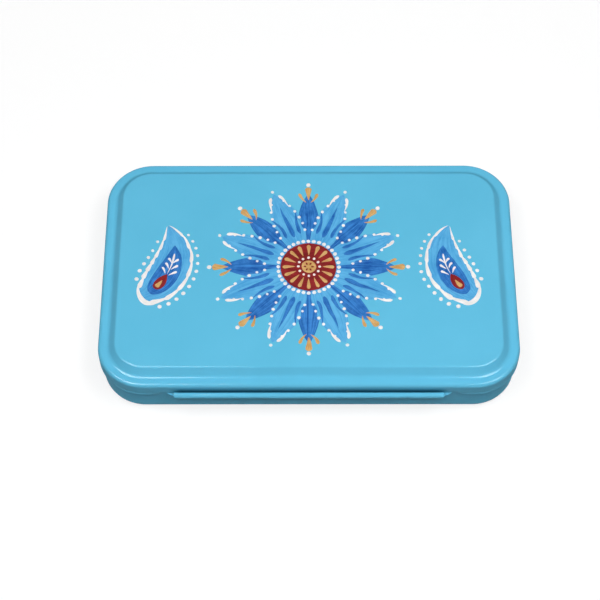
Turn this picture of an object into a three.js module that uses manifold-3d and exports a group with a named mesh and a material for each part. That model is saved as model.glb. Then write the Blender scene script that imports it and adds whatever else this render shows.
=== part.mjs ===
// Shallow hinged storage tin of pressed sheet steel: a drawn body, an overlapping lid with a raised panel
// and a rolled grip along its front edge, and two small butt hinges at the back.
// Millimetres, +Z up. The tin stands on z = 0, its length runs along X and its front faces -Y.
import * as THREE from "three";
import { mergeVertices } from "three/addons/utils/BufferGeometryUtils.js";
import Module from "manifold-3d";

// Lid, over its outer faces
const LID_LENGTH = 180;
const LID_DEPTH = 114;
const LID_CORNER = 20;
const RIM_HEIGHT = 21.7;
const RIM_ROUND = 1.6;
const RIM_LAND = 1.6;
const SKIRT_DEPTH = 7.8;

// Raised panel of the lid, its slope in degrees
const PANEL_RISE = 3.8;
const PANEL_SLOPE = 50;
const PANEL_FOOT_ROUND = 2.75;
const PANEL_CREST_ROUND = 1.5;

// Sheet and the height of its folded edges
const SHEET = 0.45;
const SKIRT_HEM = 3.6;
const MOUTH_HEM = 2.8;

// Fits between lid and body
const SKIRT_CLEARANCE = 0.35;
const SEAT_CLEARANCE = 0.3;

// Body: a flat foot round a shallow recess in the base, its slope in degrees
const BASE_ROUND = 4;
const BASE_FOOT = 5;
const BASE_RECESS = 0.8;
const BASE_BEND = 1.6;
const BASE_SLOPE = 40;

// Grip rolled from the front edge of the lid, its sweep in degrees, with a relief notch at each end.
// GRIP_RISE lifts its underside above the skirt's lower edge.
const GRIP_LENGTH = 120.6;
const GRIP_RADIUS = 1.3;
const GRIP_REACH = 1.55;
const GRIP_RISE = 1.3;
const GRIP_BEND = 0.5;
const GRIP_SWEEP = 280;
const GRIP_END_SLANT = 3.4;
const RELIEF_LENGTH = 6.4;
const RELIEF_HEIGHT = 3;

// Hinges, with knuckles rolled from the leaves, their sweep in degrees
const HINGE_SPACING = 90;
const HINGE_WIDTH = 24;
const LID_KNUCKLE_WIDTH = 8;
const LEAF_SHEET = 0.6;
const LEAF_BEND = 0.6;
const LID_PLATE = 3.6;
const BODY_PLATE = 5.4;
const PIN_RADIUS = 0.7;
const PIN_CLEARANCE = 0.2;
const PIN_HEAD = 0.5;
const PIN_HEAD_LIP = 0.45;
const KNUCKLE_SWEEP = 285;
const KNUCKLE_CLEARANCE = 0.25;

// Facets of the round forms: steps in a plan corner, most degrees in one step of a bend
const CORNER_STEPS = 9;
const BEND_STEP = 18;

// Values that follow from the sizes above
const SKIRT_BOTTOM = RIM_HEIGHT - SKIRT_DEPTH;
const MOUTH_TOP = RIM_HEIGHT - SHEET - SEAT_CLEARANCE;
const BODY_INSET = 2 * SHEET + SKIRT_CLEARANCE;
const LID_PLAN = { length: LID_LENGTH, depth: LID_DEPTH, corner: LID_CORNER };
const BODY_PLAN = {
  length: LID_LENGTH - 2 * BODY_INSET,
  depth: LID_DEPTH - 2 * BODY_INSET,
  corner: LID_CORNER - BODY_INSET,
};
const LID_FRONT = -LID_DEPTH / 2;
const LID_BACK = LID_DEPTH / 2;
const BODY_BACK = BODY_PLAN.depth / 2;
const KNUCKLE_RADIUS = PIN_RADIUS + PIN_CLEARANCE + LEAF_SHEET;
const HINGE_Y = LID_BACK + KNUCKLE_CLEARANCE + KNUCKLE_RADIUS;
const HINGE_Z = SKIRT_BOTTOM;

const { degToRad, radToDeg } = THREE.MathUtils;
const wasm = await Module();
wasm.setup();

function solidOf(geometry) {
  const bare = geometry.clone();
  bare.deleteAttribute("normal");
  bare.deleteAttribute("uv");
  const merged = mergeVertices(bare, 1e-5);
  const mesh = new wasm.Mesh({
    numProp: 3,
    vertProperties: merged.attributes.position.array,
    triVerts: new Uint32Array(merged.index.array),
  });
  return new wasm.Manifold(mesh);
}

function geometryOf(solid) {
  const mesh = solid.getMesh();
  const geometry = new THREE.BufferGeometry();
  geometry.setAttribute("position", new THREE.BufferAttribute(mesh.vertProperties, 3));
  geometry.setIndex(new THREE.BufferAttribute(mesh.triVerts, 1));
  geometry.computeVertexNormals();
  return geometry;
}

// Line of a bent sheet. It starts at a point with a heading in degrees; each move is a straight run or a
// turn of some degrees at a radius, left when positive. Every point carries the line's left normal.
function bendLine(start, heading, moves) {
  let [u, v] = start;
  let angle = degToRad(heading);
  const normal = () => [-Math.sin(angle), Math.cos(angle)];
  const line = [{ at: [u, v], left: normal() }];
  for (const { run, turn, radius } of moves) {
    if (run !== undefined) {
      u += run * Math.cos(angle);
      v += run * Math.sin(angle);
      line.push({ at: [u, v], left: normal() });
      continue;
    }
    const toCentre = Math.sign(turn) * radius;
    const [nu, nv] = normal();
    const centre = [u + toCentre * nu, v + toCentre * nv];
    const steps = Math.max(2, Math.ceil(Math.abs(turn) / BEND_STEP));
    for (let i = 0; i < steps; i += 1) {
      angle += degToRad(turn) / steps;
      const left = normal();
      u = centre[0] - toCentre * left[0];
      v = centre[1] - toCentre * left[1];
      line.push({ at: [u, v], left });
    }
  }
  return line;
}

function lineAt(line, offset) {
  return line.map(({ at, left }) => [at[0] + offset * left[0], at[1] + offset * left[1]]);
}

// Straight run between two opposite bends, so that together they step sideways by the offset.
function jogRun(offset, angle, radiusSum) {
  const a = degToRad(angle);
  return (offset - radiusSum * (1 - Math.cos(a))) / Math.sin(a);
}

// Plan outline of a rounded box, counterclockwise, set in from its outer face.
function planRing(plan, inset, z) {
  const radius = plan.corner - inset;
  const cx = plan.length / 2 - plan.corner;
  const cy = plan.depth / 2 - plan.corner;
  const ring = [];
  for (const [sx, sy, start] of [[1, 1, 0], [-1, 1, 90], [-1, -1, 180], [1, -1, 270]]) {
    for (let i = 0; i <= CORNER_STEPS; i += 1) {
      const a = degToRad(start + (90 * i) / CORNER_STEPS);
      ring.push([sx * cx + radius * Math.cos(a), sy * cy + radius * Math.sin(a), z]);
    }
  }
  return ring;
}

// Shell lofted round the plan outline through rings of [inset, z]. They start at the middle of the face that
// looks down and end at the middle of the face that looks up, and both middles are closed flat.
function loftShell(plan, rings) {
  const count = 4 * (CORNER_STEPS + 1);
  const top = (rings.length - 1) * count;
  const middle = rings.length * count;
  const positions = rings.flatMap(([inset, z]) => planRing(plan, inset, z).flat());
  positions.push(0, 0, rings[0][1]);
  positions.push(0, 0, rings[rings.length - 1][1]);
  const index = [];
  for (let i = 0; i < count; i += 1) {
    const j = (i + 1) % count;
    for (let low = 0; low < top; low += count) {
      const high = low + count;
      index.push(low + i, low + j, high + j);
      index.push(low + i, high + j, high + i);
    }
    index.push(middle, j, i);
    index.push(middle + 1, top + i, top + j);
  }
  const geometry = new THREE.BufferGeometry();
  geometry.setAttribute("position", new THREE.Float32BufferAttribute(positions, 3));
  geometry.setIndex(index);
  return geometry;
}

// Prism of an outline of [y, z], centred on x.
function prismAlongX(outline, width, x) {
  const shape = new THREE.Shape(outline.map(([y, z]) => new THREE.Vector2(y, z)));
  const geometry = new THREE.ExtrudeGeometry(shape, { depth: width, bevelEnabled: false });
  const turn = new THREE.Matrix4().set(0, 0, 1, x - width / 2, 1, 0, 0, 0, 0, 1, 0, 0, 0, 0, 0, 1);
  return geometry.applyMatrix4(turn);
}

function box(x0, x1, y0, y1, z0, z1) {
  const geometry = new THREE.BoxGeometry(x1 - x0, y1 - y0, z1 - z0);
  return geometry.translate((x0 + x1) / 2, (y0 + y1) / 2, (z0 + z1) / 2);
}

// Half round of a folded edge, from the inner layer to the outer face; side is 1 for a fold at the top.
function foldLine(z, side) {
  const steps = 4;
  const line = [];
  for (let i = 1; i < steps; i += 1) {
    const a = (Math.PI * i) / steps;
    line.push([SHEET + SHEET * Math.cos(a), z + side * SHEET * Math.sin(a)]);
  }
  return line;
}

function lidPressing() {
  const face = bendLine([0, SKIRT_BOTTOM + SHEET], 90, [
    { run: SKIRT_DEPTH - SHEET - RIM_ROUND },
    { turn: -90, radius: RIM_ROUND },
    { run: RIM_LAND },
    { turn: PANEL_SLOPE, radius: PANEL_FOOT_ROUND },
    { run: jogRun(PANEL_RISE, PANEL_SLOPE, PANEL_FOOT_ROUND + PANEL_CREST_ROUND) },
    { turn: -PANEL_SLOPE, radius: PANEL_CREST_ROUND },
  ]);
  return loftShell(LID_PLAN, [
    ...lineAt(face, -SHEET).slice(1).reverse(),
    [SHEET, SKIRT_BOTTOM + SKIRT_HEM],
    [2 * SHEET, SKIRT_BOTTOM + SKIRT_HEM],
    [2 * SHEET, SKIRT_BOTTOM + SHEET],
    ...foldLine(SKIRT_BOTTOM + SHEET, -1),
    ...lineAt(face, 0),
  ]);
}

function bodyPressing() {
  const face = bendLine([0, MOUTH_TOP - SHEET], -90, [
    { run: MOUTH_TOP - SHEET - BASE_ROUND },
    { turn: 90, radius: BASE_ROUND },
    { run: BASE_FOOT },
    { turn: BASE_SLOPE, radius: BASE_BEND },
    { run: jogRun(BASE_RECESS, BASE_SLOPE, 2 * BASE_BEND) },
    { turn: -BASE_SLOPE, radius: BASE_BEND },
  ]);
  return loftShell(BODY_PLAN, [
    ...lineAt(face, 0).reverse(),
    ...foldLine(MOUTH_TOP - SHEET, 1).reverse(),
    [2 * SHEET, MOUTH_TOP - SHEET],
    [2 * SHEET, MOUTH_TOP - MOUTH_HEM],
    [SHEET, MOUTH_TOP - MOUTH_HEM],
    ...lineAt(face, SHEET).slice(1),
  ]);
}

// Sheet that runs down the front of the skirt, turns out of its lower edge and rolls up into a bead. The
// flange ends in a slant and the bead stops square above the slant's tip. The sheet starts one thickness
// above the hem, inside the skirt that it belongs to.
function gripRoll() {
  const line = bendLine([0, SKIRT_BOTTOM + SKIRT_HEM + SHEET], -90, [
    { run: SKIRT_HEM - GRIP_RISE - GRIP_BEND },
    { turn: 90, radius: GRIP_BEND },
    { run: GRIP_REACH - GRIP_BEND },
    { turn: GRIP_SWEEP, radius: GRIP_RADIUS - SHEET },
  ]);
  const section = [...lineAt(line, 0), ...lineAt(line, -SHEET).reverse()];
  const roll = prismAlongX(section.map(([out, z]) => [LID_FRONT - out, z]), GRIP_LENGTH + 2 * SHEET, 0);
  const half = GRIP_LENGTH / 2;
  const tip = half - GRIP_END_SLANT;
  const inner = LID_FRONT + 2 * SHEET;
  const front = LID_FRONT - GRIP_REACH - GRIP_RADIUS - SHEET;
  const mask = new THREE.Shape();
  mask.moveTo(-half, inner);
  mask.lineTo(-half, LID_FRONT);
  mask.lineTo(-tip, LID_FRONT - GRIP_REACH);
  mask.lineTo(-tip, front);
  mask.lineTo(tip, front);
  mask.lineTo(tip, LID_FRONT - GRIP_REACH);
  mask.lineTo(half, LID_FRONT);
  mask.lineTo(half, inner);
  const plan = new THREE.ExtrudeGeometry(mask, { depth: RIM_HEIGHT, bevelEnabled: false });
  const back = LID_FRONT - GRIP_REACH + GRIP_RADIUS;
  const above = SKIRT_BOTTOM + GRIP_RISE + SHEET;
  const wide = half + SHEET;
  return solidOf(roll)
    .intersect(solidOf(plan))
    .subtract(solidOf(box(-wide, -tip, front, back, above, RIM_HEIGHT)))
    .subtract(solidOf(box(tip, wide, front, back, above, RIM_HEIGHT)));
}

// Notch in the skirt beside one end of the grip: highest at the grip, easing down to the skirt's edge.
function reliefNotch(side) {
  const x = (share) => side * (GRIP_LENGTH / 2 + share * RELIEF_LENGTH);
  const top = SKIRT_BOTTOM + RELIEF_HEIGHT;
  const under = SKIRT_BOTTOM - SHEET;
  const shape = new THREE.Shape();
  shape.moveTo(x(0), under);
  shape.lineTo(x(1), under);
  shape.lineTo(x(1), SKIRT_BOTTOM);
  shape.bezierCurveTo(x(0.55), SKIRT_BOTTOM, x(0.45), top, x(0), top);
  const cut = new THREE.ExtrudeGeometry(shape, { depth: 4 * SHEET, bevelEnabled: false, curveSegments: 8 });
  const back = LID_FRONT + 3 * SHEET;
  return cut.applyMatrix4(new THREE.Matrix4().set(1, 0, 0, 0, 0, 0, -1, back, 0, 1, 0, 0, 0, 0, 0, 1));
}

function lidShell() {
  const half = GRIP_LENGTH / 2;
  const back = LID_FRONT + 3 * SHEET;
  const tongue = box(-half, half, LID_FRONT - SHEET, back, SKIRT_BOTTOM - SHEET, SKIRT_BOTTOM + SKIRT_HEM);
  return solidOf(lidPressing())
    .subtract(solidOf(tongue))
    .subtract(solidOf(reliefNotch(1)))
    .subtract(solidOf(reliefNotch(-1)))
    .add(gripRoll());
}

// Moves that carry a leaf sideways from its seat to the knuckle, and the height they take.
function leafJog(offset, side) {
  const radii = 2 * LEAF_BEND + LEAF_SHEET;
  const angle = Math.min(45, radToDeg(Math.acos(1 - offset / (1.01 * radii))));
  const run = jogRun(offset, angle, radii);
  const height = radii * Math.sin(degToRad(angle)) + run * Math.cos(degToRad(angle));
  const moves = [
    { turn: side * angle, radius: LEAF_BEND + LEAF_SHEET },
    { run },
    { turn: -side * angle, radius: LEAF_BEND },
    { turn: side * KNUCKLE_SWEEP, radius: KNUCKLE_RADIUS },
  ];
  return { moves, height };
}

// Leaf on the lid: a plate on the skirt's outer face and one knuckle in its middle.
function lidLeaf(x) {
  const jog = leafJog(KNUCKLE_CLEARANCE, 1);
  const bottom = HINGE_Z + KNUCKLE_RADIUS + LEAF_BEND;
  const top = bottom + LID_PLATE;
  const line = bendLine([LID_BACK, top], -90, [{ run: top - HINGE_Z - jog.height }, ...jog.moves]);
  const section = [...lineAt(line, 0), ...lineAt(line, LEAF_SHEET).reverse()];
  const half = HINGE_WIDTH / 2;
  const plate = box(x - half, x + half, LID_BACK, LID_BACK + LEAF_SHEET, bottom, top);
  return solidOf(plate).add(solidOf(prismAlongX(section, LID_KNUCKLE_WIDTH, x)));
}

// Leaf on the body: a plate on the back wall and two knuckles either side of the lid's.
function bodyLeaf(x) {
  const jog = leafJog(HINGE_Y - KNUCKLE_RADIUS - BODY_BACK, -1);
  const top = HINGE_Z - Math.max(jog.height, KNUCKLE_RADIUS + LEAF_BEND);
  const bottom = top - BODY_PLATE;
  const line = bendLine([BODY_BACK, bottom], 90, [{ run: HINGE_Z - jog.height - bottom }, ...jog.moves]);
  const section = [...lineAt(line, -LEAF_SHEET), ...lineAt(line, 0).reverse()];
  const half = HINGE_WIDTH / 2;
  const ear = half - LID_KNUCKLE_WIDTH / 2 - KNUCKLE_CLEARANCE;
  const plate = box(x - half, x + half, BODY_BACK, BODY_BACK + LEAF_SHEET, bottom, top);
  return solidOf(plate)
    .add(solidOf(prismAlongX(section, ear, x - half + ear / 2)))
    .add(solidOf(prismAlongX(section, ear, x + half - ear / 2)));
}

// Pin through the knuckles, upset into a low head at each end.
function hingePin(x) {
  const shaft = HINGE_WIDTH / 2 + PIN_CLEARANCE;
  const end = shaft + PIN_HEAD;
  const head = PIN_RADIUS + PIN_HEAD_LIP;
  const profile = [
    [0, -end], [PIN_RADIUS, -end], [head, -shaft - PIN_HEAD / 2], [head, -shaft],
    [PIN_RADIUS, -shaft], [PIN_RADIUS, shaft],
    [head, shaft], [head, shaft + PIN_HEAD / 2], [PIN_RADIUS, end], [0, end],
  ];
  const pin = new THREE.LatheGeometry(profile.map(([r, along]) => new THREE.Vector2(r, along)), 24);
  return solidOf(pin.rotateZ(-Math.PI / 2).translate(x, HINGE_Y, HINGE_Z));
}

const enamel = new THREE.Color(0x60c0e2);
const steel = new THREE.Color(0x9a9c9e);
const tin = new THREE.Group();
tin.name = "storage_tin";

function addPart(name, solid, color, metalness, roughness) {
  const material = new THREE.MeshStandardMaterial({ color, metalness, roughness });
  const mesh = new THREE.Mesh(geometryOf(solid), material);
  mesh.name = name;
  tin.add(mesh);
}

addPart("body_shell", solidOf(bodyPressing()), enamel, 0, 0.3);
addPart("lid_shell", lidShell(), enamel, 0, 0.3);
for (const [side, x] of [["left", -HINGE_SPACING / 2], ["right", HINGE_SPACING / 2]]) {
  addPart(`${side}_body_leaf`, bodyLeaf(x), enamel, 0, 0.3);
  addPart(`${side}_lid_leaf`, lidLeaf(x), enamel, 0, 0.3);
  addPart(`${side}_hinge_pin`, hingePin(x), steel, 1, 0.35);
}

export default tin;
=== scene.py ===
# Hinged storage tin of pressed sheet steel in glossy blue enamel, its lid decorated by hand in raised paint.
import math

import bmesh
import bpy
from mathutils import Matrix, Vector


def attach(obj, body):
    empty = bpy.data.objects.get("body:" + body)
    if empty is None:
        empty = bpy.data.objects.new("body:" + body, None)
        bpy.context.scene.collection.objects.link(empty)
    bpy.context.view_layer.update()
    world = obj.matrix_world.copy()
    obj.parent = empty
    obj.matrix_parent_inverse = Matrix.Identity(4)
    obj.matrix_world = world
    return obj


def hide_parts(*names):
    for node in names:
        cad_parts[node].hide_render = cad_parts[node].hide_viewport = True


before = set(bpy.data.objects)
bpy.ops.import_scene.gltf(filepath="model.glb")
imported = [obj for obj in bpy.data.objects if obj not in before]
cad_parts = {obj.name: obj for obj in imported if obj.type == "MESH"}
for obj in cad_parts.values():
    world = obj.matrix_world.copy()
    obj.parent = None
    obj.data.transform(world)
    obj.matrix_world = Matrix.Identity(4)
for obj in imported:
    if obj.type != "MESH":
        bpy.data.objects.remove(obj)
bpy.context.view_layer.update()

# Lengths are in metres and angles in degrees, unless a comment says otherwise
MM = 0.001

# Lid and body in the sizes of the solids they stand for, but with the panel 0.3 mm lower to leave room
# for the paint
LID_LENGTH = 180 * MM
LID_DEPTH = 114 * MM
LID_CORNER = 20 * MM
RIM_HEIGHT = 21.7 * MM
RIM_ROUND = 1.6 * MM
RIM_LAND = 1.6 * MM
SKIRT_DEPTH = 7.8 * MM
PANEL_RISE = 3.5 * MM
PANEL_SLOPE = 50
PANEL_FOOT_ROUND = 2.75 * MM
PANEL_CREST_ROUND = 1.5 * MM
SHEET = 0.45 * MM
FOLD_ROUND = 0.9 * SHEET
SKIRT_HEM = 3.6 * MM
MOUTH_HEM = 2.8 * MM
SKIRT_CLEARANCE = 0.35 * MM
SEAT_CLEARANCE = 0.3 * MM
BASE_ROUND = 4 * MM
BASE_FOOT = 5 * MM
BASE_RECESS = 0.8 * MM
BASE_BEND = 1.6 * MM
BASE_SLOPE = 40

# Waist of the skirt above its edge, and the share of it at even steps from the edge to the hem's top
SKIRT_WAIST = 0.26 * MM
WAIST_SHARES = (0.15, 1, 0.75, 0.5, 0.25)

# Grip rolled from the lid's front edge, between two relief notches with curved edges
GRIP_LENGTH = 120.6 * MM
GRIP_RADIUS = 1.3 * MM
GRIP_REACH = 1.54 * MM
GRIP_BEND = 0.5 * MM
GRIP_SWEEP = 280
GRIP_END_SLANT = 3.4 * MM
GRIP_RISE = 1.3 * MM
RELIEF_LENGTH = 6.4 * MM
RELIEF_HEIGHT = 3 * MM
RELIEF_STEPS = 8
RELIEF_HANDLES = (0.55, 0.45)

# Painted shade in the groove behind the grip: full up to one height over the skirt's edge, gone at the other
SHADE_FULL_HEIGHT = 3.4 * MM
SHADE_TOP_HEIGHT = 6 * MM

# Hinges, and the solids that their pieces stand for
HINGE_SPACING = 90 * MM
HINGE_WIDTH = 24 * MM
LID_KNUCKLE_WIDTH = 8 * MM
LEAF_SHEET = 0.6 * MM
LEAF_BEND = 0.6 * MM
LEAF_STEP_SLOPE = 45
LEAF_CORNER = 1.2 * MM
LEAF_CORNER_STEPS = 6
LEAF_EDGE_ROUND = 0.12 * MM
LEAF_EDGE_ANGLE = 50
LID_PLATE = 3.6 * MM
BODY_PLATE = 5.4 * MM
PIN_RADIUS = 0.7 * MM
PIN_CLEARANCE = 0.2 * MM
PIN_HEAD = 0.5 * MM
PIN_HEAD_LIP = 0.45 * MM
PIN_HEAD_ROUND = 0.9 * PIN_HEAD
PIN_SIDES = 32
KNUCKLE_SWEEP = 285
KNUCKLE_CLEARANCE = 0.25 * MM
WELD_RADIUS = 1.1 * MM
WELD_DENT = 0.12 * MM
WELD_SPACING = 16 * MM
WELD_SIDES = 32
HINGE_NODES = {"lid_strap": "lid_leaf", "body_strap": "body_leaf", "hinge_wire": "hinge_pin"}

# Painted ornament on the panel: a medallion in the middle and a mirrored pair of paisleys, whose drop is
# in millimetres as the marks are
PETALS = 8
PAISLEY_AT = (60 * MM, 0)
PAISLEY_TURN = -72
PAISLEY_CURL = 85
PAISLEY_LENGTH = 40 * MM
PAISLEY_DROP = 42
LONG_MARK = 12 * MM
LONG_MARK_RINGS = 22
MARK_RINGS = 12
MARK_SIDES = 12
DOT_SIDES = 8
DRIFT_SPAN = 9 * MM
DRIFT_REACH = 0.9 * MM

# Fineness of the round forms, the angles in radians past which an edge is sharp, and the strip that keeps
# a flat flat beside a round
CORNER_STEPS = 24
BEND_STEPS = 8
TURN_STEP = 11
METAL_CREASE = math.radians(40)
PAINT_CREASE = math.radians(60)
FLAT_EDGE = 0.3 * MM
NEAR = 0.01 * MM

# The photograph's view: a pinhole fitted to the lid's outline, with its angles in radians, in a picture
# 600 pixels square
PICTURE_SIDE = 600
FOCAL_PIXELS = 1753
SENSOR_WIDTH = 36
VIEW_ELEVATION = math.radians(59)
VIEW_YAW = math.radians(0.25)
VIEW_ROLL = math.radians(-0.27)
VIEW_DISTANCE = 765.5 * MM
VIEW_RIGHT = -3.87 * MM
VIEW_UP = -12.61 * MM

# White paper and white room: what they scatter, and what is added where they are seen directly
FLOOR_SIDE = 12
PAPER_SCATTERED = "#A4A4A4"
PAPER_SEEN = "#8C8C8C"
PAPER_LIFT = 0.76
ROOM_SCATTERED = 0.03

# Colour sockets of a Mix node, which repeats their names for each kind of data
MIX_A, MIX_B, MIX_RESULT = 6, 7, 2

SKIRT_BOTTOM = RIM_HEIGHT - SKIRT_DEPTH
MOUTH_TOP = RIM_HEIGHT - SHEET - SEAT_CLEARANCE
BODY_INSET = 2 * SHEET + SKIRT_CLEARANCE
LID_FRONT = -LID_DEPTH / 2
LID_BACK = LID_DEPTH / 2
BODY_BACK = LID_BACK - BODY_INSET
GRIP_HALF = GRIP_LENGTH / 2
TONGUE_RISE = GRIP_RISE + SHEET + GRIP_BEND
TONGUE_END = SKIRT_BOTTOM + TONGUE_RISE
KNUCKLE_RADIUS = PIN_RADIUS + PIN_CLEARANCE + LEAF_SHEET
HINGE_Y = LID_BACK + KNUCKLE_CLEARANCE + KNUCKLE_RADIUS
HINGE_Z = SKIRT_BOTTOM
PANEL_TOP = RIM_HEIGHT + PANEL_RISE


def linear(code):
    """Linear colour of an sRGB hex value."""
    parts = [int(code[i : i + 2], 16) / 255 for i in (1, 3, 5)]
    return [c / 12.92 if c <= 0.04045 else ((c + 0.055) / 1.055) ** 2.4 for c in parts] + [1]


def add_node(tree, kind, inputs=(), **settings):
    """Adds a node with its settings, and sets or links its inputs."""
    made = tree.nodes.new("ShaderNode" + kind)
    for key, value in settings.items():
        setattr(made, key, value)
    for key, value in dict(inputs).items():
        if isinstance(value, bpy.types.NodeSocket):
            tree.links.new(value, made.inputs[key])
        else:
            made.inputs[key].default_value = value
    return made


def new_material(name):
    """A material without nodes, and its node tree."""
    material = bpy.data.materials.new(name)
    material.use_nodes = True
    material.node_tree.nodes.clear()
    return material, material.node_tree


def blue_enamel():
    """Sprayed gloss enamel: an even blue in soft clouds 45 mm wide, and a faint orange peel that breaks up
    the highlights, drawn coarser than the real half millimetre, 1.4 mm, so that it shows. The shine is a
    weak clear coat that hardly rises at low angles, so that a white room doesn't grey the blue. A deeper
    blue painted into the groove behind the grip stands for the shade there."""
    material, tree = new_material("blue_gloss_enamel")
    place = add_node(tree, "TexCoord").outputs["Object"]
    cloud = add_node(tree, "TexNoise", {"Vector": place, "Scale": 22, "Detail": 3})
    colour = add_node(tree, "ValToRGB", {"Fac": cloud.outputs["Fac"]})
    for stop, position, code in zip(colour.color_ramp.elements, (0.3, 0.7), ("#59B4D6", "#5FB9DB")):
        stop.position = position
        stop.color = linear(code)
    spot = add_node(tree, "SeparateXYZ", {"Vector": place}).outputs
    along = add_node(tree, "Math", {0: spot["X"]}, operation="ABSOLUTE").outputs["Value"]
    # From unshaded to fully painted shade: in from the grip's ends, from its roll to the skirt, out through
    # the sheet, and down from the rim
    groove_shade = None
    for value, unshaded, shaded in (
        (along, GRIP_HALF, GRIP_HALF - 2 * GRIP_END_SLANT),
        (spot["Y"], LID_FRONT - 0.8 * GRIP_REACH, LID_FRONT - 0.4 * GRIP_REACH),
        (spot["Y"], LID_FRONT + 0.3 * MM, LID_FRONT + 0.1 * MM),
        (spot["Z"], SKIRT_BOTTOM + SHADE_TOP_HEIGHT, SKIRT_BOTTOM + SHADE_FULL_HEIGHT),
    ):
        limits = {"Value": value, "From Min": unshaded, "From Max": shaded}
        inside = add_node(tree, "MapRange", limits, interpolation_type="SMOOTHSTEP").outputs["Result"]
        if groove_shade is None:
            groove_shade = inside
        else:
            groove_shade = add_node(tree, "Math", {0: groove_shade, 1: inside}, operation="MULTIPLY").outputs["Value"]
    # Painted shade: the enamel turns a deep blue in the groove behind the grip, where shade falls
    tint = add_node(tree, "Mix", {
        "Factor": groove_shade, MIX_A: colour.outputs["Color"], MIX_B: linear("#2C6C85"),
    }, data_type="RGBA")
    peel = add_node(tree, "TexNoise", {"Vector": place, "Scale": 700, "Detail": 2})
    bump = add_node(tree, "Bump", {"Strength": 0.25, "Distance": 0.02 * MM, "Height": peel.outputs["Fac"]})
    skin = add_node(tree, "BsdfPrincipled", {
        "Base Color": tint.outputs[MIX_RESULT], "Specular IOR Level": 0, "Coat Weight": 0.1, "Coat IOR": 2,
        "Coat Roughness": 0.09, "Coat Normal": bump.outputs["Normal"], "Normal": bump.outputs["Normal"],
    })
    add_node(tree, "OutputMaterial", {"Surface": skin.outputs["BSDF"]})
    return material


def tinplate():
    """Bare tinned sheet: soft grey metal with rolling lines along the length. Real lines are about 0.1 mm
    apart; here they are 0.4 mm apart and 25 mm long, so that they show."""
    material, tree = new_material("tinned_steel_sheet")
    place = add_node(tree, "TexCoord").outputs["Object"]
    lines = add_node(tree, "Mapping", {"Vector": place, "Scale": (1, 60, 60)})
    grain = add_node(tree, "TexNoise", {"Vector": lines.outputs["Vector"], "Scale": 40, "Detail": 4})
    tone = add_node(tree, "ValToRGB", {"Fac": grain.outputs["Fac"]})
    for stop, code in zip(tone.color_ramp.elements, ("#6C6F6F", "#929391")):
        stop.color = linear(code)
    rough = add_node(tree, "MapRange", {"Value": grain.outputs["Fac"], "To Min": 0.56, "To Max": 0.7})
    skin = add_node(tree, "BsdfPrincipled", {
        "Base Color": tone.outputs["Color"], "Metallic": 1, "Roughness": rough.outputs["Result"],
    })
    add_node(tree, "OutputMaterial", {"Surface": skin.outputs["BSDF"]})
    return material


def drawn_wire():
    """Drawn steel wire: bright grey metal with die lines along it, 0.3 mm apart and 7 mm long. Real ones
    are under 0.1 mm apart; these are drawn coarser so that they show."""
    material, tree = new_material("drawn_steel_wire")
    place = add_node(tree, "TexCoord").outputs["Object"]
    lines = add_node(tree, "Mapping", {"Vector": place, "Scale": (1, 25, 25)})
    grain = add_node(tree, "TexNoise", {"Vector": lines.outputs["Vector"], "Scale": 150, "Detail": 3})
    tone = add_node(tree, "ValToRGB", {"Fac": grain.outputs["Fac"]})
    for stop, code in zip(tone.color_ramp.elements, ("#8E8F90", "#BDBEBE")):
        stop.color = linear(code)
    skin = add_node(tree, "BsdfPrincipled", {
        "Base Color": tone.outputs["Color"], "Metallic": 1, "Roughness": 0.32,
    })
    add_node(tree, "OutputMaterial", {"Surface": skin.outputs["BSDF"]})
    return material


def brushed_paint(name, dark, light):
    """Artist's acrylic laid by brush: a soft sheen, thin patches 4 mm wide, and streaks along each mark
    where the bristles left it thin. Real bristle lines are about 0.2 mm apart; here there are 56 round a
    mark, 0.6 mm apart on a petal, so that they show. The mark's place shifts its streaks, so that no two
    marks are alike."""
    material, tree = new_material(name)
    place = add_node(tree, "TexCoord").outputs["Object"]
    patch = add_node(tree, "TexNoise", {"Vector": place, "Scale": 260, "Detail": 4, "Roughness": 0.6})
    way = add_node(tree, "UVMap", uv_map="along_brush")
    apart = add_node(tree, "VectorMath", {0: place, "Scale": 40}, operation="SCALE")
    lines = add_node(tree, "VectorMath", {
        0: way.outputs["UV"], 1: (56, 3, 0), 2: apart.outputs["Vector"],
    }, operation="MULTIPLY_ADD")
    bristle = add_node(tree, "TexNoise", {"Vector": lines.outputs["Vector"], "Scale": 1, "Detail": 3})
    mixed = add_node(tree, "Math", {
        0: bristle.outputs["Fac"], 1: 2, 2: patch.outputs["Fac"],
    }, operation="MULTIPLY_ADD")
    cover = add_node(tree, "MapRange", {"Value": mixed.outputs["Value"], "From Min": 1.2, "From Max": 1.8})
    colour = add_node(tree, "ValToRGB", {"Fac": cover.outputs["Result"]})
    for stop, code in zip(colour.color_ramp.elements, (dark, light)):
        stop.color = linear(code)
    rough = add_node(tree, "MapRange", {"Value": cover.outputs["Result"], "To Min": 0.36, "To Max": 0.52})
    bump = add_node(tree, "Bump", {"Strength": 0.5, "Distance": 0.05 * MM, "Height": mixed.outputs["Value"]})
    skin = add_node(tree, "BsdfPrincipled", {
        "Base Color": colour.outputs["Color"], "Roughness": rough.outputs["Result"], "IOR": 1.47,
        "Specular IOR Level": 0.15, "Normal": bump.outputs["Normal"],
    })
    add_node(tree, "OutputMaterial", {"Surface": skin.outputs["BSDF"]})
    return material


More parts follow.
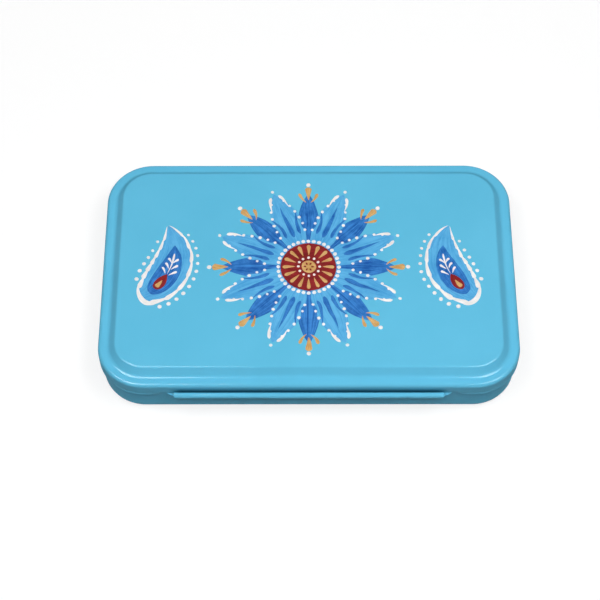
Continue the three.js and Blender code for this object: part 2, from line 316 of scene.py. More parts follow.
ENAMEL = blue_enamel()
TINPLATE = tinplate()
WIRE = drawn_wire()
PAINTS = {
    "mid_blue": brushed_paint("mid_blue_acrylic", "#4397CE", "#5AAEDC"),
    "deep_blue": brushed_paint("deep_blue_acrylic", "#0E4E9A", "#3382CC"),
    "red": brushed_paint("dark_red_acrylic", "#6A090E", "#8C1317"),
    "ochre": brushed_paint("ochre_acrylic", "#B68848", "#D4AD70"),
    "white": brushed_paint("off_white_acrylic", "#D9D7D5", "#F2F0EE"),
}
PAINTED = {paint: [] for paint in PAINTS}


def open_mesh(obj):
    """Puts one object alone into edit mode."""
    bpy.ops.object.select_all(action="DESELECT")
    obj.select_set(True)
    bpy.context.view_layer.objects.active = obj
    bpy.ops.object.mode_set(mode="EDIT")


def pick(kind, wanted):
    """Selects the faces, edges or verts of the mesh in edit mode for which wanted is true."""
    bpy.ops.mesh.select_mode(type=kind)
    bpy.ops.mesh.select_all(action="DESELECT")
    data = bpy.context.object.data
    mesh = bmesh.from_edit_mesh(data)
    mesh.normal_update()
    items = {"FACE": mesh.faces, "EDGE": mesh.edges, "VERT": mesh.verts}[kind]
    for item in [i for i in items if wanted(i)]:
        item.select_set(True)
    bmesh.update_edit_mesh(data)


def modifier(obj, kind, **settings):
    """Adds a modifier, sets it and applies it."""
    bpy.ops.object.mode_set(mode="OBJECT")
    made = obj.modifiers.new(kind.lower(), kind)
    for key, value in settings.items():
        setattr(made, key, value)
    bpy.ops.object.modifier_apply(modifier=made.name)


def stand_for(piece, node, body):
    """Sets a piece in the place of a solid, to move with that solid's body."""
    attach(piece, body)
    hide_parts(node)


def rounded_plate(name, length, depth, corner, z):
    """A flat plate with round corners, in edit mode and picked."""
    bpy.ops.object.select_all(action="DESELECT")
    bpy.ops.mesh.primitive_plane_add(size=1)
    plate = bpy.context.object
    plate.name = name
    bpy.ops.object.mode_set(mode="EDIT")
    bpy.ops.transform.resize(value=(length, depth, 1))
    bpy.ops.transform.translate(value=(0, 0, z))
    bpy.ops.mesh.bevel(affect="VERTICES", offset=corner, segments=CORNER_STEPS)
    bpy.ops.mesh.select_all(action="SELECT")
    return plate


def bend(radius, start, end):
    """Steps, inward and along, of a round between two headings in degrees off the plate."""
    turns = [math.radians(start + (end - start) * i / BEND_STEPS) for i in range(BEND_STEPS + 1)]
    return [
        (radius * abs(math.sin(b) - math.sin(a)), radius * abs(math.cos(b) - math.cos(a)))
        for a, b in zip(turns, turns[1:])
    ]


def slope_run(rise, slope, radii):
    """Inward and along lengths of the straight between two opposite rounds that rise together by rise."""
    angle = math.radians(slope)
    run = (rise - radii * (1 - math.cos(angle))) / math.sin(angle)
    return run * math.cos(angle), run * math.sin(angle)


def press(steps, along, mouth):
    """Draws the picked field out of the plate, then drops the plate's own face at the mouth's level."""
    for inward, rise in steps:
        if inward:
            bpy.ops.mesh.inset(thickness=inward, depth=rise)
        else:
            bpy.ops.mesh.extrude_region_move(TRANSFORM_OT_translate={"value": (0, 0, along * rise)})
    pick("FACE", lambda f: len(f.verts) > 4 and abs(f.calc_center_median().z - mouth) < NEAR)
    bpy.ops.mesh.delete(type="ONLY_FACE")


def bend_sheet(y, z, heading, moves):
    """Draws the picked edges on in the YZ plane by straight runs and by turns, left when positive."""
    angle = math.radians(heading)
    for run, turn, radius in moves:
        if run:
            step = (0, run * math.cos(angle), run * math.sin(angle))
            bpy.ops.mesh.extrude_region_move(TRANSFORM_OT_translate={"value": step})
            y, z = y + step[1], z + step[2]
        if turn:
            reach = math.copysign(radius, turn)
            centre = (0, y - reach * math.sin(angle), z + reach * math.cos(angle))
            steps = max(4, round(abs(turn) / TURN_STEP))
            bpy.ops.mesh.spin(steps=steps, angle=-math.radians(turn), center=centre, axis=(1, 0, 0))
            angle += math.radians(turn)
            y, z = centre[1] + reach * math.sin(angle), centre[2] - reach * math.cos(angle)


def thicken(pressing):
    """Gives a pressed skin the sheet's thickness, enamelled outside and bare inside."""
    pressing.data.materials.append(ENAMEL)
    pressing.data.materials.append(TINPLATE)
    modifier(pressing, "SOLIDIFY", thickness=SHEET, offset=-1, use_even_offset=True, material_offset=1)


def fold_edge(level, height, side, keeps):
    """Folds the sheet's edge inward as a second layer, where keeps is true, and rounds the fold. Side is 1
    for an upper edge and -1 for a lower one."""
    bpy.ops.object.mode_set(mode="EDIT")
    top = level - side * height
    low, high = min(level, top), max(level, top)
    pick("FACE", lambda f: f.material_index == 1 and low < f.calc_center_median().z < high and keeps(f))
    bpy.ops.mesh.extrude_region_shrink_fatten(
        TRANSFORM_OT_shrink_fatten={"value": SHEET, "use_even_offset": True}
    )

    def at_fold(e):
        """Whether one of the edge's faces looks out of the fold and the other is upright."""
        if len(e.link_faces) != 2 or not all(low - NEAR < v.co.z < high - NEAR for v in e.verts):
            return False
        tilts = sorted(side * f.normal.z for f in e.link_faces)
        return tilts[1] > 0.5 and abs(tilts[0]) < 0.3 and all(keeps(f) for f in e.link_faces)

    pick("EDGE", at_fold)
    bpy.ops.mesh.bevel(offset=FOLD_ROUND, segments=4, affect="EDGES")


def notch_skirt():
    """Cuts the grip's tongue free in the skirt's front edge, with a curved relief notch at each side."""
    near, far = RELIEF_HANDLES
    stations = []
    for i in range(RELIEF_STEPS + 1):
        t = i / RELIEF_STEPS
        share = (1 - t) ** 3 + 3 * near * t * (1 - t) ** 2 + 3 * far * t * t * (1 - t)
        stations.append((GRIP_HALF + share * RELIEF_LENGTH, (3 * t * t - 2 * t**3) * RELIEF_HEIGHT))

    def on_band(f):
        return f.normal.y < -0.99 and f.calc_center_median().z < SKIRT_BOTTOM + SKIRT_HEM

    def at_edge(v):
        return abs(v.co.z - SKIRT_BOTTOM) < NEAR and abs(v.co.y - LID_FRONT) < NEAR

    for x in [side * x for x, _ in stations for side in (-1, 1)]:
        pick("FACE", on_band)
        bpy.ops.mesh.bisect(plane_co=(x, 0, 0), plane_no=(1, 0, 0), threshold=NEAR / 10)
    pick("FACE", lambda f: on_band(f) and abs(f.calc_center_median().x) < GRIP_HALF)
    bpy.ops.mesh.split()
    for x, rise in stations:
        pick("VERT", lambda v: at_edge(v) and abs(abs(v.co.x) - x) < NEAR
             and any(abs(f.calc_center_median().x) > GRIP_HALF for f in v.link_faces))
        bpy.ops.transform.translate(value=(0, 0, rise))
    pick("VERT", lambda v: at_edge(v) and abs(v.co.x) < GRIP_HALF + NEAR)
    bpy.ops.transform.translate(value=(0, 0, TONGUE_RISE))
    bpy.ops.mesh.select_all(action="SELECT")
    bpy.ops.mesh.remove_doubles(threshold=NEAR / 10)


def roll_grip():
    """Turns the tongue outward, rolls it up into the grip, and slants its ends."""
    pick("EDGE", lambda e: all(
        abs(v.co.z - TONGUE_END) < NEAR and abs(v.co.y - LID_FRONT) < NEAR for v in e.verts
    ))
    bend_sheet(LID_FRONT, TONGUE_END, -90, [
        (0, -90, GRIP_BEND),
        (GRIP_REACH - GRIP_BEND, -GRIP_SWEEP, GRIP_RADIUS - SHEET),
    ])

    def out(f, rolled):
        """Whether a face stands out from the skirt, in the roll or in the flat part before it."""
        past = any(v.co.y < LID_FRONT - GRIP_REACH - NEAR or v.co.z > TONGUE_END + NEAR for v in f.verts)
        return f.calc_center_median().y < LID_FRONT - NEAR and past == rolled

    pick("FACE", lambda f: out(f, True))
    bpy.ops.mesh.split()
    for side in (-1, 1):
        pick("FACE", lambda f: out(f, False))
        bpy.ops.mesh.bisect(
            plane_co=(side * GRIP_HALF, LID_FRONT, 0),
            plane_no=Vector((side * GRIP_REACH, -GRIP_END_SLANT, 0)).normalized(),
            clear_outer=True, threshold=NEAR / 10,
        )
        pick("FACE", lambda f: out(f, True))
        bpy.ops.mesh.bisect(
            plane_co=(side * (GRIP_HALF - GRIP_END_SLANT), 0, 0), plane_no=(side, 0, 0),
            clear_outer=True, threshold=NEAR / 10,
        )
    bpy.ops.mesh.select_all(action="SELECT")
    bpy.ops.mesh.remove_doubles(threshold=NEAR)


def set_normals_out():
    """Turns all faces to the outer side of the skin."""
    bpy.ops.mesh.select_mode(type="FACE")
    bpy.ops.mesh.select_all(action="SELECT")
    bpy.ops.mesh.normals_make_consistent(inside=False)


def draw_in_skirt():
    """Draws the skirt in above its lower edge, so that the folded edge stands out as a narrow lip."""
    pick("EDGE", lambda e: abs(sum(v.co.z for v in e.verts) / 2 - SKIRT_BOTTOM - SKIRT_HEM / 2) < NEAR
         and abs(e.calc_length() - SKIRT_HEM) < NEAR)
    bpy.ops.mesh.subdivide(number_cuts=len(WAIST_SHARES))
    for i, share in enumerate(WAIST_SHARES, 1):
        level = SKIRT_BOTTOM + SKIRT_HEM * i / (len(WAIST_SHARES) + 1)
        pick("VERT", lambda v: abs(v.co.z - level) < NEAR and v.co.y > LID_FRONT - NEAR)
        bpy.ops.transform.shrink_fatten(value=-share * SKIRT_WAIST)


def lid():
    """One pressing: skirt, rim and raised panel, with the grip rolled from the skirt's front edge."""
    made = rounded_plate("lid_pressing", LID_LENGTH, LID_DEPTH, LID_CORNER, SKIRT_BOTTOM)
    wall = SKIRT_DEPTH - RIM_ROUND - SKIRT_HEM - FLAT_EDGE
    steps = [(0, SKIRT_HEM), (0, wall), (0, FLAT_EDGE), *bend(RIM_ROUND, 90, 0), (RIM_LAND, 0)]
    steps += bend(PANEL_FOOT_ROUND, 0, PANEL_SLOPE)
    steps += [slope_run(PANEL_RISE, PANEL_SLOPE, PANEL_FOOT_ROUND + PANEL_CREST_ROUND)]
    steps += [*bend(PANEL_CREST_ROUND, PANEL_SLOPE, 0), (FLAT_EDGE, 0)]
    press(steps, 1, SKIRT_BOTTOM)
    notch_skirt()
    roll_grip()
    set_normals_out()
    draw_in_skirt()
    thicken(made)

    def off_grip(f):
        middle = f.calc_center_median()
        return middle.y >= LID_FRONT + 2 * SHEET or abs(middle.x) >= GRIP_HALF

    fold_edge(SKIRT_BOTTOM, SKIRT_HEM, -1, off_grip)
    pick("FACE", lambda f: f.calc_center_median().y < LID_FRONT - NEAR)
    made.active_material_index = 0
    bpy.ops.object.material_slot_assign()
    bpy.ops.object.mode_set(mode="OBJECT")
    bpy.ops.object.shade_smooth_by_angle(angle=METAL_CREASE)
    stand_for(made, "lid_shell", "lid")


def body():
    """One pressing, drawn downward from its mouth: walls, flat foot and a shallow recess inside the foot."""
    length, depth = LID_LENGTH - 2 * BODY_INSET, LID_DEPTH - 2 * BODY_INSET
    made = rounded_plate("body_pressing", length, depth, LID_CORNER - BODY_INSET, MOUTH_TOP)
    bpy.ops.mesh.flip_normals()
    wall = MOUTH_TOP - MOUTH_HEM - BASE_ROUND - FLAT_EDGE
    recess = [*bend(BASE_BEND, 0, BASE_SLOPE), slope_run(BASE_RECESS, BASE_SLOPE, 2 * BASE_BEND)]
    recess += bend(BASE_BEND, BASE_SLOPE, 0)
    steps = [(0, MOUTH_HEM), (0, wall), (0, FLAT_EDGE), *bend(BASE_ROUND, 90, 0), (FLAT_EDGE, 0)]
    steps += [(BASE_FOOT - 2 * FLAT_EDGE, 0), (FLAT_EDGE, 0)]
    steps += [(inward, -rise) for inward, rise in recess] + [(FLAT_EDGE, 0)]
    press(steps, -1, MOUTH_TOP)
    set_normals_out()
    thicken(made)
    fold_edge(MOUTH_TOP, MOUTH_HEM, 1, lambda f: True)
    bpy.ops.object.mode_set(mode="OBJECT")
    bpy.ops.object.shade_smooth_by_angle(angle=METAL_CREASE)
    stand_for(made, "body_shell", "tin_body")


def leaf_step(offset):
    """Angle, straight run and height of the double bend that steps hinge sheet out by offset."""
    radii = 2 * LEAF_BEND + LEAF_SHEET
    # 1.01 leaves a short straight between the two bends
    angle = min(math.radians(LEAF_STEP_SLOPE), math.acos(1 - offset / (1.01 * radii)))
    run = (offset - radii * (1 - math.cos(angle))) / math.sin(angle)
    return angle, run, radii * math.sin(angle) + run * math.cos(angle)


def knuckle_moves(drop, offset, side):
    """Bends that step a tongue of hinge sheet out from its plate and roll it round the pin, which is at
    drop from the plate."""
    angle, run, height = leaf_step(offset)
    step = side * math.degrees(angle)
    return [
        (drop - height, step, LEAF_BEND + LEAF_SHEET),
        (run, -step, LEAF_BEND),
        (0, side * KNUCKLE_SWEEP, KNUCKLE_RADIUS),
    ]


def spot_weld(leaf, at):
    """Presses the shallow round dent of a spot weld into a leaf's plate."""
    bpy.ops.object.mode_set(mode="OBJECT")
    bpy.ops.object.select_all(action="DESELECT")
    bpy.ops.mesh.primitive_uv_sphere_add(
        segments=WELD_SIDES, ring_count=WELD_SIDES // 2, radius=WELD_RADIUS, location=at,
        scale=(1, WELD_DENT / WELD_RADIUS, 1),
    )
    tip = bpy.context.object
    bpy.context.view_layer.objects.active = leaf
    modifier(leaf, "BOOLEAN", operation="DIFFERENCE", object=tip, solver="EXACT")
    bpy.data.objects.remove(tip)


def hinge_leaf(name, rides, seat, plate, outer, side, knuckles):
    """A strap of hinge sheet on the wall at y = seat, its plate starting at z = outer, with knuckles round
    the left pin. Side is 1 for a plate above the pin and -1 for one below it."""
    inner = outer - side * plate
    x = -HINGE_SPACING / 2
    bpy.ops.object.select_all(action="DESELECT")
    bpy.ops.mesh.primitive_plane_add(size=1, rotation=(-math.pi / 2, 0, 0))
    leaf = bpy.context.object
    leaf.name = "left_" + name
    bpy.ops.object.transform_apply(rotation=True)
    bpy.ops.object.mode_set(mode="EDIT")
    bpy.ops.transform.resize(value=(HINGE_WIDTH, 1, plate))
    bpy.ops.transform.translate(value=(x, seat, (outer + inner) / 2))
    pick("VERT", lambda v: abs(v.co.z - outer) < NEAR)
    bpy.ops.mesh.bevel(affect="VERTICES", offset=LEAF_CORNER, segments=LEAF_CORNER_STEPS)
    for edge in [x + edge for span in knuckles for edge in span]:
        bpy.ops.mesh.select_all(action="SELECT")
        bpy.ops.mesh.bisect(plane_co=(edge, 0, 0), plane_no=(1, 0, 0))
    pick("EDGE", lambda e: all(abs(v.co.z - inner) < NEAR for v in e.verts) and any(
        low < (e.verts[0].co.x + e.verts[1].co.x) / 2 - x < high for low, high in knuckles
    ))
    drop = abs(inner - HINGE_Z)
    bend_sheet(seat, inner, -90 * side, knuckle_moves(drop, HINGE_Y - KNUCKLE_RADIUS - seat, side))
    bpy.ops.mesh.select_all(action="SELECT")
    bpy.ops.mesh.remove_doubles(threshold=NEAR / 10)
    modifier(leaf, "SOLIDIFY", thickness=LEAF_SHEET, offset=1, use_even_offset=True)
    modifier(
        leaf, "BEVEL", width=LEAF_EDGE_ROUND, segments=2, limit_method="ANGLE",
        angle_limit=math.radians(LEAF_EDGE_ANGLE),
    )
    for weld in (-WELD_SPACING / 2, WELD_SPACING / 2):
        spot_weld(leaf, Vector((x + weld, seat + LEAF_SHEET, (outer + inner) / 2)))
    open_mesh(leaf)
    bpy.ops.mesh.select_all(action="SELECT")
    bpy.ops.mesh.dissolve_degenerate(threshold=NEAR / 5)
    leaf.data.materials.append(ENAMEL)
    finish_pair(leaf, name, rides)


def hinge_wire():
    """Steel wire through the knuckles, upset into a low domed head at each end."""
    half = HINGE_WIDTH / 2 + PIN_CLEARANCE
    bpy.ops.object.select_all(action="DESELECT")
    bpy.ops.mesh.primitive_cylinder_add(
        vertices=PIN_SIDES, radius=PIN_RADIUS, depth=2 * half, rotation=(0, math.pi / 2, 0)
    )
    wire = bpy.context.object
    wire.name = "left_hinge_wire"
    bpy.ops.object.transform_apply(rotation=True)
    bpy.ops.object.mode_set(mode="EDIT")
    head = (PIN_RADIUS + PIN_HEAD_LIP) / PIN_RADIUS
    for side in (-1, 1):
        end = (side * half, 0, 0)
        pick("FACE", lambda f: side * f.calc_center_median().x > half - NEAR)
        bpy.ops.mesh.extrude_region_move()
        bpy.ops.transform.resize(value=(1, head, head), center_override=end)
        bpy.ops.mesh.extrude_region_move(TRANSFORM_OT_translate={"value": (side * PIN_HEAD, 0, 0)})
        pick("EDGE", lambda e: all(abs(v.co.x - side * (half + PIN_HEAD)) < NEAR for v in e.verts))
        bpy.ops.mesh.bevel(offset=PIN_HEAD_ROUND, segments=5, affect="EDGES")
    bpy.ops.mesh.select_all(action="SELECT")
    bpy.ops.transform.translate(value=(-HINGE_SPACING / 2, HINGE_Y, HINGE_Z))
    set_normals_out()
    wire.data.materials.append(WIRE)
    finish_pair(wire, "hinge_wire", "tin_body")


def finish_pair(left, name, rides):
    """Smooths a left hinge piece and copies it for the right hinge."""
    bpy.ops.object.mode_set(mode="OBJECT")
    bpy.ops.object.select_all(action="DESELECT")
    left.select_set(True)
    bpy.context.view_layer.objects.active = left
    bpy.ops.object.shade_smooth_by_angle(angle=METAL_CREASE)
    bpy.ops.object.duplicate()
    right = bpy.context.object
    right.name = "right_" + name
    open_mesh(right)
    bpy.ops.mesh.select_all(action="SELECT")
    bpy.ops.transform.translate(value=(HINGE_SPACING, 0, 0))
    bpy.ops.object.mode_set(mode="OBJECT")
    for piece, hand in ((left, "left_"), (right, "right_")):
        stand_for(piece, hand + HINGE_NODES[name], rides)


def hinges():
    """Two butt hinges: a strap with one knuckle on the lid, one with two on the body, and a wire."""
    half = HINGE_WIDTH / 2
    knuckle = LID_KNUCKLE_WIDTH / 2
    drop = KNUCKLE_RADIUS + LEAF_BEND
    top = HINGE_Z + drop + LID_PLATE
    hinge_leaf("lid_strap", "lid", LID_BACK, LID_PLATE, top, 1, [(-knuckle, knuckle)])
    ear = knuckle + KNUCKLE_CLEARANCE
    deep = max(drop, leaf_step(HINGE_Y - KNUCKLE_RADIUS - BODY_BACK)[2])
    low = HINGE_Z - deep - BODY_PLATE
    hinge_leaf("body_strap", "tin_body", BODY_BACK, BODY_PLATE, low, -1, [(-half, -ear), (ear, half)])
    hinge_wire()


def petal(s):
    """Width of a petal along its length: widest two fifths of the way, pointed at its end."""
    return 1.9 * s**0.6 * (1 - s) ** 0.85 + 0.1 * (1 - s)


def comma(s):
    """Width of a pressed stroke along its length: round where the brush is set down, then a long tail."""
    return min(1, s / 0.16) ** 0.5 * (1 - s) ** 0.75 * 1.05


def disc(s):
    """Width of a round spot along its length."""
    return 2 * math.sqrt(s * (1 - s))


def brush_mark(size, at, turn=0, curl=0, shape=None):
    """One mark of raised paint with its middle at a place, flat underneath: its width follows shape from
    its start to its end, or it is a dot. Turn and curl are in degrees. The mark stays picked in edit mode."""
    length, width, height = size
    rings = sides = DOT_SIDES
    if shape:
        rings, sides = LONG_MARK_RINGS if length > LONG_MARK else MARK_RINGS, MARK_SIDES
    bpy.ops.object.select_all(action="DESELECT")
    bpy.ops.mesh.primitive_uv_sphere_add(
        segments=sides, ring_count=rings, radius=1, rotation=(0, math.pi / 2, 0)
    )
    mark = bpy.context.object
    mark.data.uv_layers[0].name = "along_brush"
    bpy.ops.object.transform_apply(rotation=True)
    bpy.ops.object.mode_set(mode="EDIT")
    for i in range(1, rings) if shape else ():
        x = -math.cos(math.pi * i / rings)
        scale = shape((1 + x) / 2) / math.sin(math.pi * i / rings)
        pick("VERT", lambda v: abs(v.co.x - x) < 0.01)
        bpy.ops.transform.resize(value=(1, scale, scale), center_override=(x, 0, 0))
    pick("VERT", lambda v: v.co.z < 0)
    bpy.ops.transform.resize(value=(1, 1, 0), center_override=(0, 0, 0))
    bpy.ops.mesh.select_all(action="SELECT")
    bpy.ops.transform.resize(value=(length / 2, width / 2, height), center_override=(0, 0, 0))
    if curl:
        modifier(mark, "SIMPLE_DEFORM", deform_method="BEND", deform_axis="Z", angle=math.radians(curl))
        open_mesh(mark)
        bpy.ops.mesh.select_all(action="SELECT")
    bpy.ops.transform.rotate(value=-math.radians(turn), orient_axis="Z", center_override=(0, 0, 0))
    bpy.ops.transform.translate(value=at)
    return mark


def ring_of_marks(paint, count, radius, angle, level, size, turn=0, **form):
    """Lays a mark at a radius and angle, pointing outward, and repeats it round the middle of the panel.
    Radius, level over the panel and size (length, width, height) are in millimetres."""
    a = math.radians(angle)
    at = (radius * MM * math.cos(a), radius * MM * math.sin(a), PANEL_TOP + level * MM)
    mark = brush_mark([side * MM for side in size], at, angle + turn, **form)
    if count > 1:
        bpy.ops.mesh.spin(
            steps=count - 1, dupli=True, angle=2 * math.pi * (count - 1) / count,
            center=(0, 0, 0), axis=(0, 0, 1),
        )
    bpy.ops.object.mode_set(mode="OBJECT")
    PAINTED[paint].append(mark)


def pair_of_marks(paint, x, y, level, size, turn=0, **form):
    """Lays a mark on a straight paisley, curls it with the paisley and mirrors it to the other side.
    Place, level over the panel and size (length, width, height) are in millimetres."""
    mark = brush_mark([side * MM for side in size], (x * MM, y * MM, 0), turn, **form)
    reach = [v.co.x for v in bmesh.from_edit_mesh(mark.data).verts]
    modifier(
        mark, "SIMPLE_DEFORM", deform_method="BEND", deform_axis="Z",
        angle=math.radians(PAISLEY_CURL) * (max(reach) - min(reach)) / PAISLEY_LENGTH,
    )
    open_mesh(mark)
    bpy.ops.mesh.select_all(action="SELECT")
    bpy.ops.transform.rotate(value=-math.radians(PAISLEY_TURN), orient_axis="Z", center_override=(0, 0, 0))
    bpy.ops.transform.translate(value=(*PAISLEY_AT, PANEL_TOP + level * MM))
    bpy.ops.mesh.duplicate()
    bpy.ops.transform.resize(value=(-1, 1, 1), center_override=(0, 0, 0))
    bpy.ops.mesh.flip_normals()
    bpy.ops.object.mode_set(mode="OBJECT")
    PAINTED[paint].append(mark)


def medallion():
    """Eight-petalled flower: blue petals brushed outward, a red heart, ochre buds and rows of white dots."""
    between = 180 / PETALS
    ring_of_marks("deep_blue", PETALS, 25, 0, 0, (27, 13, 0.05), shape=petal)
    ring_of_marks("mid_blue", PETALS, 25.5, between, 0.02, (31, 17.5, 0.07), shape=petal)
    ring_of_marks("deep_blue", PETALS, 25, between, 0.07, (17, 2.6, 0.08), shape=comma)
    for side in (-1, 1):
        # Dark strokes along the petal, white strokes at its tip, and dots down its edge
        for offset, radius, length in ((9, 24, 13), (15.5, 24.5, 9)):
            ring_of_marks(
                "deep_blue", PETALS, radius, between + side * offset, 0.06, (length, 1.9, 0.08),
                turn=side * 4, curl=side * 38, shape=comma,
            )
        ring_of_marks(
            "white", PETALS, 36.5, between + side * 5.2, 0.09, (7.5, 1.7, 0.13),
            turn=180 - side * 20, curl=side * 40, shape=comma,
        )
        for i in range(6):
            s = 0.3 + 0.11 * i
            radius = 10 + 31 * s
            edge = math.degrees(math.atan2(8.1 * petal(s), radius))
            size = 1.5 - 0.1 * abs(i - 2)
            ring_of_marks("white", PETALS, radius, between + side * edge, 0.04, (size, size, 0.16))
    # Buds at the tips of the dark petals, each with a dot beyond it
    ring_of_marks("ochre", PETALS, 38.5, 0, 0.04, (7, 3.4, 0.12), turn=180, shape=comma)
    for side in (-1, 1):
        ring_of_marks(
            "ochre", PETALS, 36, side * 4.6, 0.04, (6, 1.7, 0.1),
            turn=180 + side * 28, curl=side * 36, shape=comma,
        )
    ring_of_marks("white", PETALS, 43.2, 0, 0.03, (1.9, 1.9, 0.2))
    ring_of_marks("white", PETALS, 42.4, between, 0.03, (1.5, 1.5, 0.18))
    # Heart
    ring_of_marks("red", 1, 0, 0, 0.08, (24.4, 24.4, 0.06), shape=disc)
    ring_of_marks("ochre", 2 * PETALS, 8.6, 0, 0.13, (5.4, 1.9, 0.09), turn=180, shape=comma)
    ring_of_marks("ochre", 1, 0, 0, 0.1, (6.8, 6.8, 0.16), shape=disc)
    ring_of_marks("white", 36, 13.3, 0, 0.06, (1.7, 1.7, 0.18))
    ring_of_marks("white", 12, 4.7, 0, 0.12, (1.2, 1.2, 0.14))
    ring_of_marks("red", 6, 1.7, 0, 0.24, (1.3, 0.8, 0.04))


def paisleys():
    """Curled drops either side of the flower, outlined in white strokes and dots round a small sprig."""
    pair_of_marks("mid_blue", -1, 0, 0, (PAISLEY_DROP, 23, 0.06), turn=180, shape=petal)
    pair_of_marks("deep_blue", 2.4, 0, 0.05, (27, 13.5, 0.06), turn=180, shape=petal)
    pair_of_marks("red", 8.6, 0, 0.1, (9, 6.2, 0.07), turn=180, shape=petal)
    pair_of_marks("ochre", 9.8, 0, 0.175, (4.4, 2.4, 0.1), turn=180, shape=comma)
    pair_of_marks("white", -1.4, 0, 0.1, (11, 1, 0.1), shape=comma)
    pair_of_marks("white", 20.4, 0, 0.04, (15, 2.8, 0.14), turn=90, curl=110, shape=petal)
    for side in (-1, 1):
        # Leaves of the sprig
        for i in range(3):
            pair_of_marks(
                "white", 2.6 - 2.9 * i, side * (2 - 0.42 * i), 0.09, (4 - 0.5 * i, 1.3, 0.11),
                turn=-side * 42, curl=side * 30, shape=comma,
            )
        # Outline in strokes that follow the drop's edge
        for i in range(7):
            s = 0.12 + 0.133 * i
            rise = side * 10 * (petal(s + 0.02) - petal(s - 0.02))
            pair_of_marks(
                "white", 20 - PAISLEY_DROP * s, side * 11.3 * petal(s), 0.04, (8.4, 2.6 - 0.2 * i, 0.14),
                turn=math.degrees(math.atan2(rise, -0.04 * PAISLEY_DROP)), curl=side * 16, shape=comma,
            )
        # Dots outside it, more on the long side, each with a length that the curl makes round
        count = 6 if side > 0 else 12
        for i in range(count):
            s = 0.1 + 0.75 * i / (count - 1)
            size = 1.9 - 0.6 * i / count
            y = side * (11.5 * petal(s) + 2.7)
            drawn_out = 1 - y * MM * math.radians(PAISLEY_CURL) / PAISLEY_LENGTH
            pair_of_marks("white", 20.6 - PAISLEY_DROP * s, y, 0.02, (size / drawn_out, size, 0.18))


def painted_ornament():
    """Joins the marks of each paint, gives them the small unevenness of a hand, and sets them on the lid."""
    medallion()
    paisleys()
    drift = bpy.data.textures.new("hand_drift", "CLOUDS")
    drift.noise_scale = DRIFT_SPAN
    for paint, marks in PAINTED.items():
        bpy.ops.object.select_all(action="DESELECT")
        for mark in marks:
            mark.select_set(True)
        bpy.context.view_layer.objects.active = marks[0]
        bpy.ops.object.join()
        coat = bpy.context.object
        coat.name = paint + "_paint"
        for way in ("X", "Y"):
            modifier(coat, "DISPLACE", texture=drift, direction=way, strength=DRIFT_REACH, mid_level=0.5)
        coat.data.materials.append(PAINTS[paint])
        bpy.ops.object.shade_smooth_by_angle(angle=PAINT_CREASE)
        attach(coat, "lid")


def camera():
    """The photograph's view, from the front and above."""
    level = math.cos(VIEW_ELEVATION)
    back = Vector((math.sin(VIEW_YAW) * level, -math.cos(VIEW_YAW) * level, math.sin(VIEW_ELEVATION)))
    right = Vector((math.cos(VIEW_YAW), math.sin(VIEW_YAW), 0))
    up = back.cross(right)
    at = Vector((0, 0, RIM_HEIGHT)) + back * VIEW_DISTANCE + right * VIEW_RIGHT + up * VIEW_UP
    across = right * math.cos(VIEW_ROLL) + up * math.sin(VIEW_ROLL)
    upward = up * math.cos(VIEW_ROLL) - right * math.sin(VIEW_ROLL)
    data = bpy.data.cameras.new("photo_view")
    data.sensor_width = SENSOR_WIDTH
    data.lens = SENSOR_WIDTH * FOCAL_PIXELS / PICTURE_SIDE
    made = bpy.data.objects.new("photo_view", data)
    made.matrix_world = Matrix((
        (across.x, upward.x, back.x, at.x),
        (across.y, upward.y, back.y, at.y),
        (across.z, upward.z, back.z, at.z),
        (0, 0, 0, 1),
    ))
    bpy.context.scene.collection.objects.link(made)
    bpy.context.scene.camera = made


def lamp(name, at, size, power, only_gloss=False):
    """A soft panel aimed at the tin, that lights its surfaces or shows only in their gloss."""
    data = bpy.data.lights.new(name, "AREA")
    data.shape = "RECTANGLE"
    data.size, data.size_y = size
    data.energy = power
    made = bpy.data.objects.new(name, data)
    made.location = at
    made.rotation_euler = (-Vector(at)).to_track_quat("-Z", "Y").to_euler()
    made.visible_diffuse = not only_gloss
    made.visible_glossy = only_gloss
    bpy.context.scene.collection.objects.link(made)


def seen_directly(tree):
    """1 for rays that see a surface itself, in a mirror or through glass, 0 for light that it scatters."""
    ray = add_node(tree, "LightPath").outputs
    shine = add_node(tree, "Math", {
        0: ray["Is Glossy Ray"], 1: ray["Is Transmission Ray"],
    }, operation="MAXIMUM")
    return add_node(tree, "Math", {
        0: ray["Is Camera Ray"], 1: shine.outputs["Value"],
    }, operation="MAXIMUM").outputs["Value"]


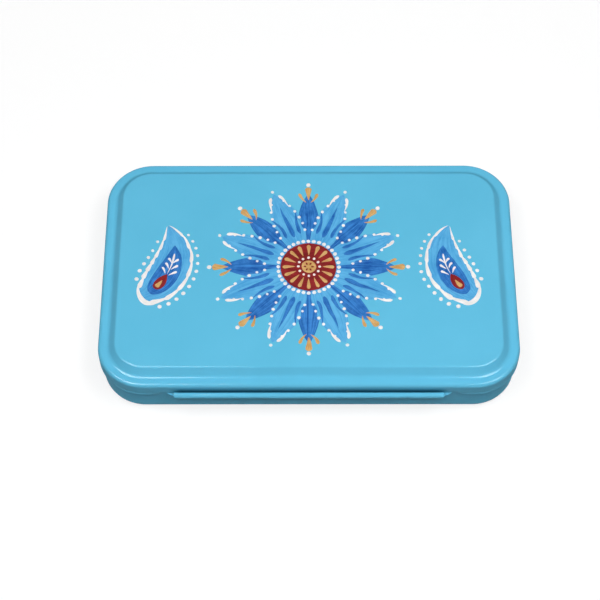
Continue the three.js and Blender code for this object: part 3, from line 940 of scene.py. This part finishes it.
def paper_floor():
    """Matt white paper: plain white to the eye, with the tin's soft shadow on it."""
    material, tree = new_material("white_paper_floor")
    direct = seen_directly(tree)
    white = add_node(tree, "Mix", {
        "Factor": direct, MIX_A: linear(PAPER_SCATTERED), MIX_B: linear(PAPER_SEEN),
    }, data_type="RGBA")
    paper = add_node(tree, "BsdfDiffuse", {"Color": white.outputs[MIX_RESULT]})
    lift = add_node(tree, "Math", {0: direct, 1: PAPER_LIFT}, operation="MULTIPLY")
    glow = add_node(tree, "Emission", {"Strength": lift.outputs["Value"]})
    both = add_node(tree, "AddShader", {0: paper.outputs["BSDF"], 1: glow.outputs["Emission"]})
    add_node(tree, "OutputMaterial", {"Surface": both.outputs["Shader"]})
    bpy.ops.object.select_all(action="DESELECT")
    bpy.ops.mesh.primitive_plane_add(size=FLOOR_SIDE)
    floor = bpy.context.object
    floor.name = "studio_floor"
    floor.data.materials.append(material)


def studio():
    """White room with a paper floor, lit by two soft boxes overhead, a tube over the camera and cards in
    front and behind. Two more panels show only in the gloss, as the highlights along the edges."""
    paper_floor()
    world = bpy.data.worlds.new("studio")
    bpy.context.scene.world = world
    world.use_nodes = True
    sky = world.node_tree
    level = add_node(sky, "MapRange", {"Value": seen_directly(sky), "To Min": ROOM_SCATTERED, "To Max": 1})
    sky.links.new(level.outputs["Result"], sky.nodes["Background"].inputs["Strength"])
    sky.nodes["Background"].inputs["Color"].default_value = (1, 1, 1, 1)
    lamp("left_box", (-0.24, -0.12, 0.74), (0.3, 0.22), 1.93)
    lamp("right_box", (0.25, -0.12, 0.72), (0.3, 0.22), 2.5)
    lamp("front_tube", (0, -0.4, 0.86), (0.9, 0.03), 3.2)
    lamp("front_card", (0, -0.62, 0.3), (0.9, 0.16), 0.25)
    lamp("back_card", (0, 0.7, 0.16), (0.9, 0.16), 1)
    lamp("left_highlight", (-0.36, -0.14, 0.9), (0.5, 0.5), 19, only_gloss=True)
    lamp("right_highlight", (0.38, -0.16, 0.86), (0.5, 0.36), 13, only_gloss=True)
    bpy.context.scene.view_settings.view_transform = "Standard"


lid()
body()
hinges()
painted_ornament()
camera()
studio()
